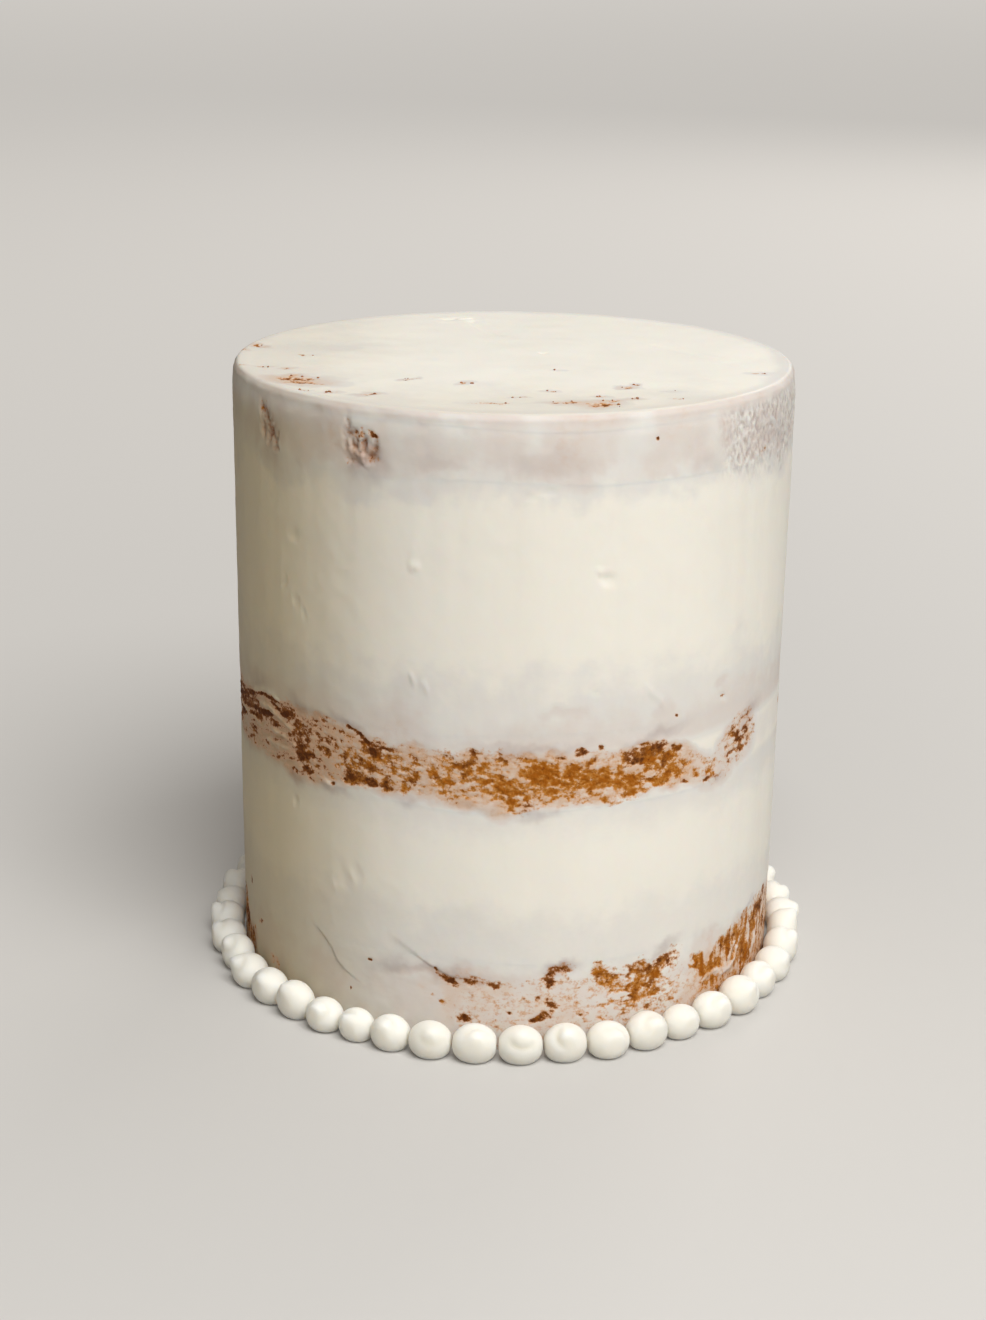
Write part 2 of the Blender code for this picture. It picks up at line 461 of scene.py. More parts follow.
def lumps(size, seed, octaves=3, at=None):
    """Smooth noise from about -1 to 1 over the skin, in lumps of the given size in millimetres."""
    draw = np.random.default_rng(seed)
    points = (place / MM if at is None else at) / size
    found = np.zeros(len(points))
    for octave in range(octaves):
        slopes = draw.normal(size=(LATTICE, LATTICE, LATTICE, 3))
        shifted = points * 2.1**octave + draw.uniform(0, LATTICE, 3)
        cell = np.floor(shifted).astype(int)
        inside = shifted - cell
        fade = inside**3 * (inside * (6 * inside - 15) + 10)
        for corner in itertools.product((0, 1), repeat=3):
            slope = slopes[tuple(((cell + corner) % LATTICE).T)]
            share = np.prod(np.where(corner, fade, 1 - fade), axis=1)
            found += 0.5**octave * share * ((inside - corner) * slope).sum(axis=1)
    return np.clip(1.1 * found, -1.2, 1.2)


def step(low, high, value):
    """0 at low rising smoothly to 1 at high, which may also be the lower of the two."""
    share = np.clip((value - low) / (high - low), 0, 1)
    return share * share * (3 - 2 * share)


# Where the scraper cut through to the sponge. Each patch is an azimuth in degrees, a height,
# half a length and half a height in millimetres, a lean in degrees, how bare it is, and how
# far its crumb is from golden, 0, to dark rust, 1.
MIDDLE_PATCHES = (
    (-77, 78.5, 6, 3.4, 14, 0.70, 1.0),
    (-70, 81.2, 10, 2.2, 14, 0.62, 1.0),
    (-66, 78.8, 11, 2.0, 7, 0.78, 0.7),
    (-75, 74.2, 4, 1.3, 10, 0.72, 1.0),
    (-57, 79.6, 5, 1.8, 0, 0.62, 0.8),
    (-57.4, 85.6, 6.4, 0.9, 3, 0.95, 1.0),
    (-54.8, 83.8, 4, 0.7, -10, 0.88, 1.0),
    (-50.4, 84.6, 4.4, 3.2, -36, 0.60, 0.9),
    (-46.6, 80.6, 3.0, 4.2, -24, 0.55, 0.8),
    (-45.2, 74.6, 3.8, 3.6, -10, 0.78, 0.8),
    (-44.9, 70.0, 2.2, 1.6, 10, 0.52, 0.9),
    (-47.8, 68.8, 1.2, 0.8, -20, 0.60, 1.0),
    (-43.6, 68.0, 0.9, 0.7, 0, 0.60, 1.0),
    (-66, 72.4, 4, 0.6, -8, 0.50, 0.6),
    (-38, 80, 7, 6, 0, 0.24, 0.6),
    (-38.6, 87.2, 1.6, 0.7, 0, 0.52, 0.7),
    (-30.6, 84.4, 4.2, 0.7, -28, 0.98, 1.0),
    (-26.0, 81.0, 3.0, 2.8, -20, 0.76, 0.95),
    (-24.0, 82.0, 2.0, 0.8, 0, 0.70, 1.0),
    (-32.8, 75.8, 2.4, 3.0, -8, 0.68, 0.5),
    (-29.0, 77.0, 5.4, 4.4, 0, 0.46, 0.4),
    (-29.5, 72.2, 8.8, 1.2, -5, 0.74, 0.8),
    (-33.8, 71.0, 1.6, 0.9, 0, 0.66, 0.7),
    (-37.0, 68.8, 0.8, 0.8, 0, 0.70, 1.0),
    (-20.2, 72.6, 2.6, 1.5, 0, 0.66, 0.4),
    (-15.0, 78.0, 1.8, 1.6, 0, 0.62, 0.3),
    (-21, 77.5, 10, 5.5, 0, 0.36, 0.3),
    (-12, 77.0, 7, 5.4, 0, 0.42, 0.3),
    (-8.0, 80.4, 2.6, 4.4, -8, 0.68, 0.7),
    (-1.0, 83.2, 1.8, 2.0, -30, 0.55, 0.7),
    (-2.4, 75.4, 5.4, 3.6, -4, 0.74, 0.15),
    (1.0, 71.4, 4.6, 2.8, -20, 0.66, 0.2),
    (3.5, 68.6, 1.6, 1.6, 0, 0.48, 0.9),
    (-5.0, 80.5, 4.0, 4.0, 0, 0.40, 0.3),
    (6.2, 79.2, 5.0, 3.2, -4, 0.92, 0.05),
    (9.0, 75.6, 9.0, 4.6, 0, 0.66, 0.1),
    (14.0, 77.6, 6.4, 3.0, -20, 0.74, 0.15),
    (16.4, 75.6, 3.0, 3.0, 0, 0.70, 0.1),
    (13.2, 83.4, 2.2, 1.3, 0, 0.64, 0.9),
    (16.6, 81.8, 2.2, 1.2, 30, 0.56, 0.5),
    (17.8, 84.8, 0.8, 0.6, 0, 0.66, 0.9),
    (21.0, 76.0, 4.0, 3.0, 0, 0.62, 0.1),
    (23.6, 73.4, 4.2, 3.2, 20, 0.82, 0.1),
    (25.8, 80.8, 4.4, 2.3, 14, 0.84, 0.80),
    (25.8, 84.0, 1.0, 0.5, 0, 0.90, 1.0),
    (30.8, 82.4, 1.4, 1.6, -30, 0.66, 0.9),
    (34.2, 80.6, 2.0, 1.5, -10, 0.92, 0.7),
    (30.0, 78.4, 5.4, 3.0, -14, 0.74, 0.25),
    (34.0, 75.6, 4.6, 3.0, -14, 0.64, 0.2),
    (30.0, 73.4, 4.0, 1.4, 0, 0.62, 0.2),
    (36.2, 70.9, 1.4, 0.9, 0, 0.70, 0.8),
    (22.0, 70.0, 6.0, 1.6, 0, 0.34, 0.5),
    (39.4, 73.2, 1.6, 1.1, 0, 0.56, 0.2),
    (43.4, 72.4, 2.6, 1.4, -20, 0.64, 0.3),
    (42.8, 69.8, 1.2, 0.7, 0, 0.60, 0.9),
    (53.4, 77.6, 3.6, 1.0, -4, 0.82, 0.8),
    (52.0, 79.8, 3.0, 1.2, -20, 0.60, 0.8),
    (53.6, 74.4, 3.4, 0.9, -8, 0.74, 0.8),
    (55.6, 79.0, 1.6, 1.0, -30, 0.64, 0.9),
    (52, 76.8, 6.0, 4.2, 0, 0.26, 0.5),
)
BOTTOM_PATCHES = (
    (-76.5, 11.5, 3.4, 6.5, 14, 0.80, 0.6),
    (-71, 7.4, 7, 2.6, 16, 0.42, 0.3),
    (-64.5, 15.6, 2.4, 0.8, 30, 0.75, 0.8),
    (-57.2, 7.6, 2.2, 1.6, -20, 0.52, 0.5),
    (-13.9, 22.1, 0.8, 0.6, -20, 1.0, 0.6),
    (-12.0, 19.8, 2.6, 1.0, -36, 0.86, 0.9),
    (-7.4, 19.6, 3.4, 1.6, -4, 0.62, 1.0),
    (-2.6, 18.8, 2.8, 1.2, -8, 0.78, 0.9),
    (-12.8, 12.4, 1.0, 0.9, 0, 0.58, 0.6),
    (-15.2, 14.6, 1.6, 0.5, -20, 0.40, 0.6),
    (-8.7, 8.4, 2.7, 1.0, 2, 0.86, 0.9),
    (-1.8, 11.2, 0.8, 1.1, 30, 0.66, 1.0),
    (8.6, 20.8, 3.6, 1.7, 24, 0.72, 0.8),
    (10.8, 23.0, 3.8, 1.5, 10, 0.48, 1.0),
    (9.2, 14.0, 1.9, 2.3, 30, 0.72, 0.7),
    (5.9, 14.4, 0.8, 0.9, 0, 0.74, 0.7),
    (6.8, 9.6, 3.0, 1.4, 32, 0.80, 0.6),
    (0.7, 10.6, 0.5, 0.5, 0, 1.0, 1.0),
    (19.6, 11.2, 1.4, 0.6, 10, 0.62, 0.2),
    (14.8, 9.0, 0.5, 0.4, 0, 0.9, 0.8),
    (19.8, 20.6, 2.4, 2.9, 30, 0.70, 0.5),
    (21.0, 17.2, 1.8, 2.4, 0, 0.72, 0.3),
    (23.8, 15.2, 2.6, 1.1, 6, 0.56, 0.2),
    (27.0, 20.2, 3.8, 2.2, 20, 0.76, 0.6),
    (29.8, 17.8, 3.8, 2.4, 10, 0.74, 0.4),
    (34.0, 20.6, 5.2, 2.6, 34, 0.70, 0.9),
    (26.2, 12.6, 2.4, 4.2, 16, 0.76, 0.35),
    (25.4, 9.0, 1.2, 1.6, 0, 0.72, 0.2),
    (30.8, 13.0, 2.2, 2.4, -20, 0.70, 0.5),
    (29.6, 8.4, 1.8, 0.9, 0, 0.74, 0.6),
    (29.0, 15.0, 7, 5.6, 0, 0.24, 0.2),
    (43.6, 16.0, 4.4, 2.6, -30, 0.94, 0.15),
    (48.0, 12.6, 4.4, 2.2, -30, 0.90, 0.05),
    (47.6, 8.8, 4.0, 1.3, 6, 0.78, 0.2),
    (51.8, 17.4, 4.2, 3.0, 8, 0.98, 0.40),
    (56.4, 15.0, 1.6, 4.6, 14, 0.80, 0.15),
    (60.2, 13.4, 2.2, 5.6, 8, 1.0, 0.2),
    (64.0, 15.0, 2.6, 5.0, 8, 0.86, 0.3),
    (69.4, 19.8, 4.6, 2.2, -10, 0.84, 0.8),
    (74.0, 14.0, 3.4, 2.2, -20, 0.66, 0.7),
    (59, 14, 13, 8, 0, 0.37, 0.2),
)
LONE_FLECKS = (
    (-27.0, 164.0, 1.5, 0.8, -14, 1.0, 0.6),
    (27.0, 163.5, 0.5, 0.5, 0, 1.0, 1.0),
    (-30.5, 163.4, 2.0, 0.8, 20, 0.50, 0.8),
    (57.5, 155.0, 2.0, 0.8, 10, 0.30, 1.0),
    (46.6, 91.6, 1.0, 0.4, -10, 0.85, 1.0),
    (34.0, 90.2, 0.5, 0.5, 0, 0.75, 1.0),
    (-28.4, 21.4, 0.8, 0.35, 0, 1.0, 1.0),
    (-33.0, 11.6, 0.4, 0.4, 0, 0.9, 1.0),
    (-71.0, 24.5, 1.4, 1.4, 0, 0.7, 1.0),
)


def further_patches(seed, count, low, high, tall):
    """Patches for the back of the cake, of the same make as those that show at the front."""
    draw = random.Random(seed)
    for n in range(count):
        azimuth = 80 + 200 * (n + draw.random()) / count
        yield (
            (azimuth + 180) % 360 - 180,
            draw.uniform(low, high),
            draw.uniform(2.4, 8),
            draw.uniform(0.9, tall),
            draw.uniform(-24, 24),
            draw.choice((0.4, 0.6, 0.75, 0.9)),
            draw.choice((0.1, 0.3, 0.6, 0.9)),
        )


ragged_across = 1.9 * lumps(7, 1, 4)
ragged_up = 1.5 * lumps(6, 2, 4)


def patch(azimuth, height, half_length, half_height, lean, ragged=1.0, core=0.25):
    """1 in the middle of a leaning oval on the side, down to 0 outside it."""
    along = (turned - azimuth + 180) % 360 - 180
    along = np.radians(along) * CAKE_RADIUS / MM + ragged * ragged_across
    rise = up - height + ragged * ragged_up
    tilt = math.radians(lean)
    u = (along * math.cos(tilt) + rise * math.sin(tilt)) / half_length
    v = (rise * math.cos(tilt) - along * math.sin(tilt)) / half_height
    return 1 - step(core, 1.5, np.hypot(u, v))


def patches(rows, ragged=1.0, core=0.25):
    """The patch of each row, with the value that ends the row."""
    for *oval, value in rows:
        yield patch(*oval, ragged, core), value


# Crumb that shows as specks all along the middle and bottom layers: azimuth, the heights
# between which it shows, how much of it shows, and how far it is from golden to rust.
MIDDLE_CRUMB = (
    (-180, 71, 84, 0.38, 0.4),
    (-130, 70, 85, 0.32, 0.5),
    (-100, 68, 84, 0.44, 0.6),
    (-84, 68, 84, 0.46, 0.8),
    (-72, 67.5, 84, 0.38, 0.8),
    (-60, 68.5, 86.5, 0.29, 0.8),
    (-50, 68, 87, 0.30, 0.8),
    (-44, 67.5, 87, 0.40, 0.7),
    (-37, 68, 86.5, 0.24, 0.5),
    (-29, 69, 86, 0.26, 0.5),
    (-20, 70, 85, 0.14, 0.4),
    (-12, 70.5, 84.5, 0.16, 0.3),
    (-5, 69.5, 84.5, 0.22, 0.2),
    (1, 67.5, 83.5, 0.30, 0.1),
    (12, 68, 83.5, 0.32, 0.1),
    (20, 69.5, 83.5, 0.28, 0.2),
    (28, 70.5, 84.5, 0.30, 0.3),
    (36, 70.5, 82.5, 0.24, 0.3),
    (40, 69.5, 78, 0.18, 0.4),
    (44, 68.5, 76.5, 0.18, 0.5),
    (48, 69, 82, 0.12, 0.6),
    (52, 71.5, 84.5, 0.24, 0.8),
    (57, 73, 84.5, 0.24, 0.8),
    (61, 75, 82, 0, 0.6),
    (76, 74, 82, 0, 0.6),
    (90, 72, 83, 0.22, 0.6),
    (120, 70, 84, 0.42, 0.4),
    (150, 71, 84, 0.32, 0.3),
    (180, 71, 84, 0.38, 0.4),
)
BOTTOM_CRUMB = (
    (-180, -9, 20, 0.32, 0.3),
    (-100, -9, 18, 0.30, 0.4),
    (-80, -9, 19, 0.34, 0.5),
    (-72, -9, 11, 0.24, 0.4),
    (-64, -9, 8, 0.06, 0.4),
    (-35, -9, 8, 0, 0.6),
    (-16, -9, 22.5, 0.02, 0.6),
    (-8, -9, 21.5, 0.09, 0.8),
    (0, -9, 20.5, 0.10, 0.8),
    (8, -9, 23.5, 0.11, 0.7),
    (15, -9, 22, 0.10, 0.5),
    (19, -9, 22.5, 0.14, 0.4),
    (30, -9, 22.5, 0.14, 0.4),
    (36, -9, 23, 0.16, 0.5),
    (39, -9, 18, 0.08, 0.4),
    (42, -9, 17, 0.14, 0.2),
    (46, -9, 18.5, 0.32, 0.1),
    (52, -9, 21, 0.36, 0.2),
    (58, -9, 24, 0.38, 0.2),
    (66, -9, 26, 0.38, 0.3),
    (74, -9, 24, 0.34, 0.5),
    (85, -9, 20, 0.32, 0.5),
    (120, -9, 20, 0.38, 0.3),
    (180, -9, 20, 0.32, 0.3),
)
wander = 2.2 * lumps(16, 21, 4) + 0.9 * lumps(5, 22)


def round_the_side(rows, column):
    return np.interp(turned, [row[0] for row in rows], [row[column] for row in rows])


bare = np.zeros(len(place))
rust_weight = np.full(len(place), 1e-6)
rust_total = np.zeros(len(place))
for rows in (MIDDLE_CRUMB, BOTTOM_CRUMB):
    low, high = round_the_side(rows, 1), round_the_side(rows, 2)
    edge_at = up + 0.8 * wander
    here = step(low - 1.5, low + 2.5, edge_at) * (1 - step(high - 3, high + 1.5, edge_at))
    here *= round_the_side(rows, 3)
    bare = 1 - (1 - bare) * (1 - here)
    rust_weight += here
    rust_total += here * (round_the_side(rows, 4) + 0.35 * step(high - 4.5, high - 1, up))
scraped_through = (
    *MIDDLE_PATCHES,
    *BOTTOM_PATCHES,
    *LONE_FLECKS,
    *further_patches(3, 36, 71, 83, 4),
    *further_patches(4, 40, 6, 21, 3.6),
)
for *oval, strength, tone in scraped_through:
    here = strength * patch(*oval, ragged=min(1, oval[3] / 2))
    bare = 1 - (1 - bare) * (1 - here)
    rust_weight += here
    rust_total += here * tone
rust = rust_total / rust_weight

# On the left and low on the right the scraper dragged the crumb and icing into streaks.
smeared = step(-36, -54, turned) + step(40, 46, turned) * (1 - step(90, 100, turned)) * (up < 33)
streak = np.radians(14)
dragged = np.column_stack(
    (
        0.22 * (across * np.cos(streak) + up * np.sin(streak)),
        up * np.cos(streak) - across * np.sin(streak),
        np.zeros(len(place)),
    )
)
upright = np.column_stack((across, 0.25 * up, np.zeros(len(place))))
dragged = np.where((up > 43)[:, None], dragged, upright)
drawn_out = lumps(1.7, 15, 3, dragged)
crumb = (1 - smeared) * lumps(2.0, 5, 4, place / MM * (0.8, 0.8, 1.3)) + smeared * drawn_out
cover = bare + 0.48 * crumb * step(0, 0.2, bare) - 0.5 * (1 - step(0, 0.1, bare))
open_sponge = step(0.3, 0.6, cover)

# How thin the coat is: hardly there over the sponge at the foot and round the middle layer,
# and pressed thin again over the top layer, each with a soft and wandering edge.
behind = step(74, 84, np.abs(turned))
foot = 1 - step(16, 30, up + 1.6 * wander)
foot_depth = 0.35 + 0.31 * step(-30, -6, turned) + 0.12 * lumps(20, 23) + 0.08 * lumps(5, 31)
foot_depth += 0.20 * step(36, 46, turned) - 0.14 * step(11, 18, turned) * (1 - step(36, 46, turned))
thin = np.maximum(foot * foot_depth, 0.20 * (1 - step(31, 47, up + 2 * wander)))
middle_low, middle_high = round_the_side(MIDDLE_CRUMB, 1), round_the_side(MIDDLE_CRUMB, 2)
middle = step(middle_low - 4, middle_low + 1.5, up + wander)
middle *= 1 - step(middle_high - 2, middle_high + 3.5, up + wander)
middle *= 1 - 0.35 * step(38, 44, turned) - 0.5 * step(57, 61, turned) * (1 - step(84, 92, turned))
thin = np.maximum(thin, (0.96 + 0.10 * lumps(7, 32)) * middle)
over = step(80, 85, up) * (1 - step(90, 114, up + 2.4 * wander))
near_over = step(80, 85, up) * (1 - step(85, 98, up + 1.5 * wander))
thin = np.maximum(thin, (0.30 + 0.10 * lumps(17, 24)) * over + 0.20 * near_over)
under = step(55, 69, up + wander) * (1 - step(69, 73, up))
thin = np.maximum(thin, 0.22 * under)
shoulder = step(143, 160, up + 2.2 * wander)
thin = np.maximum(thin, (0.45 + 0.22 * lumps(12, 25, 3, place / MM * (1, 1, 0.7))) * shoulder)
PRESSED_THIN = (
    (-12, 20.2, 12, 2.6, -6, 0.62),
    (10.5, 22.8, 5, 2.4, 8, 0.70),
    (-20, 20.6, 9, 2.6, 8, 0.52),
    (7, 158.5, 17, 5.5, 0, 0.56),
    (-14, 157.5, 9, 3.0, 0, 0.50),
    (-30, 158.5, 7, 5.0, 0, 0.66),
    (-50, 160.0, 9, 5.0, 0, 0.54),
    (28, 155.0, 8, 3.0, 0, 0.44),
    (54, 158.0, 15, 7.0, 0, 0.56),
    (11, 94.0, 12, 3.4, 0, 0.46),
    (31, 91.0, 6, 6.0, 0, 0.46),
    (46, 96.0, 5, 3.0, 0, 0.48),
    (47, 91.0, 7, 6.0, 0, 0.40),
    (-72, 8, 9, 4.5, 10, 0.90),
)
for here, strength in patches(PRESSED_THIN):
    thin = np.maximum(thin, strength * here)
thin = np.clip(thin, 0, 1)

# The film looks mauve where it lies over the dark crust at the edge of a layer; near the top, over the
# tears and the rough zone, it is painted shade.
OVER_CRUST_AND_SHADE = (
    (-11, 20.8, 14, 2.2, -6, 0.55),
    (-23, 21.6, 8, 2.4, 8, 0.48),
    (10.5, 23.4, 6, 2.2, 8, 0.65),
    (32.5, 24.0, 7, 1.8, 26, 0.60),
    (62, 24.0, 6, 1.6, 20, 0.40),
    (-62, 89.0, 8, 2.2, 8, 0.45),
    (-45, 88.0, 7, 2.2, -14, 0.50),
    (-33, 87.0, 7, 1.6, -24, 0.60),
    (4, 85.4, 15, 1.4, 0, 0.40),
    (30, 86.2, 9, 1.8, 8, 0.50),
    (57, 83.4, 5, 3.2, 24, 0.55),
    (45, 69.6, 5, 1.4, -16, 0.50),
    (6, 66.6, 7, 1.4, 0, 0.45),
    (-20, 68.8, 3, 1.8, 0, 0.45),
    (-36, 66.8, 5, 1.5, 0, 0.50),
    (-47, 66.8, 3, 2.4, -24, 0.60),
    (-29, 157.4, 6.4, 6.4, 0, 0.72),
    (-55, 158.6, 5.6, 8.0, 14, 0.55),
    (63, 158.0, 10, 7.0, 0, 0.50),
    (6, 158.6, 12, 3.4, 0, 0.26),
    (-15, 158.0, 7, 3.0, 0, 0.22),
    (40, 155.6, 7, 3.0, 0, 0.26),
)
crust_and_shade = np.zeros(len(place))
for here, strength in patches(OVER_CRUST_AND_SHADE, core=0):
    crust_and_shade = np.maximum(crust_and_shade, strength * here)
# Painted shade: the left side, turned from the window, is darkened towards warm brown, less so near the
# top.
painted_warm_shade = step(-16, -58, turned) * (1 - step(-94, -130, turned)) * (1 - 0.6 * step(160, 168, up))


# Ridges and ledges of icing follow a line of points, each an azimuth and a height.
def line_to(points):
    """Distance to a line over the side, which side of it is left, and how far along it is."""
    best = np.full(len(place), 1e9)
    left = np.zeros(len(place))
    run = np.zeros(len(place))
    spots = [(math.radians(azimuth) * CAKE_RADIUS / MM, height) for azimuth, height in points]
    for n, ((x0, y0), (x1, y1)) in enumerate(zip(spots, spots[1:])):
        dx, dy = x1 - x0, y1 - y0
        share = ((across - x0) * dx + (up - y0) * dy) / (dx * dx + dy * dy)
        held = np.clip(share, 0, 1)
        away = np.hypot(across - x0 - held * dx, up - y0 - held * dy)
        nearer = away < best
        best[nearer] = away[nearer]
        left[nearer] = np.sign(dx * (up - y0) - dy * (across - x0))[nearer]
        run[nearer] = ((n + held) / (len(spots) - 1))[nearer]
    return best, left, run


def ridge(points, width):
    away, left, run = line_to(points)
    away = away + 0.25 * ragged_up
    return np.exp(-((away / width) ** 2)) * step(0, 0.2, run) * (1 - step(0.8, 1, run))


def ledge(points, fall):
    """1 on the left of the line, close to it, and 0 on its right."""
    away, left, run = line_to(points)
    ends = step(0, 0.25, run) * (1 - step(0.75, 1, run))
    return step(-0.3, 0.3, left * away) * np.exp(-away / fall) * ends


# Each fold has its width in millimetres, and then its points.
FOLDS = (
    (0.6, (-67, 83.4), (-63, 85.8), (-59, 87.2), (-55, 86.8), (-51, 85.4)),
    (0.6, (-66, 83.6), (-62, 82.4), (-57, 82.7), (-52, 81.0), (-48, 79.0)),
    (0.5, (-57, 76.6), (-52, 77.0), (-47, 75.4)),
    (0.5, (-60, 73.4), (-54, 73.2), (-49.5, 74.0)),
    (0.6, (-72, 84.0), (-68, 85.2), (-62, 88.2)),
    (0.6, (-79, 76.6), (-73, 76.2), (-66, 76.6), (-60, 75.6)),
    (0.8, (49.5, 8.0), (53, 11.8), (56.5, 19.5)),
    (0.6, (52, 7.6), (55.5, 11.2), (58.4, 18.0)),
    (1.0, (61.4, 8.0), (62.2, 14.0), (62.4, 21.0)),
    (0.7, (65.4, 8.0), (66.8, 14.0), (67.4, 20.5)),
    (0.9, (47, 11.4), (51, 9.6), (54.5, 10.0)),
    (0.7, (52.4, 19.6), (53.6, 17.0), (54.2, 14.0)),
)
smear = np.zeros(len(place))
for width, *points in FOLDS:
    smear = np.maximum(smear, ridge(points, width))
smear *= 0.75 + 0.5 * lumps(2.5, 33, 2)
cover -= 0.75 * smear
thin -= 0.3 * smear * thin

# Relief of the side, in millimetres out from the scraper's cylinder.
relief = 0.09 * lumps(9, 26, 2, place / MM * (1, 1, 1 / 18)) - 0.34
relief += 0.10 * lumps(30, 6)
relief += 0.035 * lumps(4, 27)
relief -= 0.22 * thin
relief -= open_sponge * (0.14 + 0.15 * lumps(1.1, 7))
relief += step(0.05, 0.3, bare) * smeared * 0.20 * drawn_out
relief += 0.45 * smear

# Two ledges low on the left, where a pass of the scraper ended: the coat lies deeper beside each.
LEFT_LEDGE = ((-30, 13.6), (-34.5, 16), (-36.8, 18.3), (-38, 21.5), (-40.4, 24.2), (-44, 27))
FRONT_LEDGE = ((-6, 19.4), (-11.5, 20.6), (-14.5, 22.4), (-18, 25.2), (-21.4, 28), (-25, 30.6))
left_ledge = ledge(LEFT_LEDGE, 8)
front_ledge = ledge(FRONT_LEDGE, 7)
relief -= 0.45 * left_ledge + 0.32 * front_ledge
# The film beside each step is also darker, fading away from it: partly a thinner coat, partly painted
# shade of the step.
thin = np.clip(thin + 0.10 * left_ledge + 0.06 * front_ledge, 0, 1)

# Small dents and lumps left in the icing: azimuth, height, half length, half height, lean, rise.
DENTS = (
    (-19.0, 132.0, 1.8, 1.2, 0, 0.55),
    (18.0, 129.0, 2.4, 1.2, -8, -0.60),
    (16.6, 130.6, 1.6, 0.7, -10, 0.40),
    (-47.0, 134.0, 1.8, 1.4, 20, -0.50),
    (-50.0, 120.0, 1.3, 1.6, 0, -0.45),
    (-46.5, 116.0, 1.1, 1.8, 0, -0.45),
    (-44.0, 113.5, 1.0, 1.4, 0, -0.40),
    (-19.0, 102.0, 0.9, 2.0, 30, 0.40),
    (-16.5, 100.5, 0.9, 1.8, 30, 0.40),
    (-60.0, 151.0, 2.4, 0.8, 30, -0.55),
    (6.0, 152.0, 2.6, 0.6, 0, -0.35),
    (3.0, 150.4, 1.4, 0.5, 0, -0.30),
    (-48.0, 60.0, 1.1, 1.3, 0, -0.70),
    (-34.0, 43.0, 2.0, 2.6, 10, -0.40),
    (-31.0, 46.0, 1.2, 3.0, 10, -0.35),
    (-37.0, 40.0, 1.2, 1.8, 10, 0.30),
    (-39.0, 68.6, 2.6, 1.1, -20, 0.75),
    (-6.0, 70.2, 5.4, 1.6, -4, 0.35),
    (46.0, 165.0, 1.0, 3.4, 4, 0.40),
    (52.5, 165.0, 1.2, 2.8, -4, 0.40),
    (49.0, 163.0, 1.6, 2.8, 0, -0.35),
    (29.0, 96.0, 1.0, 5.0, 40, 0.35),
    (46.8, 91.0, 1.6, 0.6, -20, -0.40),
    (16.0, 99.0, 1.6, 0.5, 0, -0.35),
)
for here, rise in patches(DENTS, ragged=0.5):
    relief += 0.5 * rise * here

# Two tears near the top, where the scraper lifted the coat off again: a rough, thinly coated
# hollow each, with a little crumb in it, and painted shade in its deepest parts.
TEARS = (
    (-55.5, 160.5, 3.4, 5.2, 18, 0.9),
    (-52.5, 157.0, 2.2, 2.4, 0, 0.7),
    (-29.4, 159.6, 4.6, 4.2, -8, 1.0),
    (-32.4, 163.0, 1.6, 3.0, 10, 0.8),
)
torn = np.zeros(len(place))
for here, depth in patches(TEARS, ragged=0.6, core=0.5):
    torn = np.maximum(torn, depth * here)
torn_grain = lumps(1.7, 35, 3, place / MM * (1, 1, 0.6))
relief += torn * (0.85 * torn_grain - 0.50)
# Painted shade: the film is darker where the tear lies deepest, and a mauve darkening is laid in the
# same hollows.
thin = np.clip(thin + torn * (0.26 - 0.22 * np.clip(torn_grain, -0.4, 0.8)), 0, 1)
cover = np.maximum(cover, 0.20 * torn - 0.4 * torn_grain - 0.10 * (torn > 0) - 1.0 * (torn < 0.05))
crust_and_shade = np.maximum(crust_and_shade, torn * np.clip(0.5 - 1.2 * torn_grain, 0, 1))
rust = np.maximum(rust, torn)

# To the right and behind, the thin coat near the top was left rough with crumb.
rough_zone = step(40, 48, turned % 360) * (1 - step(78, 92, turned % 360)) * step(147, 155, up + wander)
rough_zone = np.maximum(rough_zone, 0.35 * behind * step(151, 158, up)) * (1 - step(166, 169, up))
rough_grain = lumps(1.0, 8, 3, place / MM * (1, 1, 0.6))
relief += 0.18 * rough_zone * (rough_grain - 0.1)
# Painted shade and light: the film is darker in the pits of the grain and paler on its raised grain.
crust_and_shade = np.maximum(crust_and_shade, rough_zone * np.clip(0.22 - 0.7 * rough_grain, 0, 0.7))
thin = np.clip(thin - rough_zone * (0.04 + 0.12 * rough_grain), 0, 1)

rounding = step(CAKE_RADIUS - EDGE_RADIUS, CAKE_RADIUS, reach)
near_edge = step(163, 169, up)
edge_uneven = 0.2 * lumps(9, 9) - 0.3 - 0.35 * near_edge
shift = np.minimum(relief * (1 - 0.5 * near_edge) + edge_uneven * near_edge, 0) * rounding
place[:, 0] += np.cos(angle) * shift * MM
place[:, 1] += np.sin(angle) * shift * MM

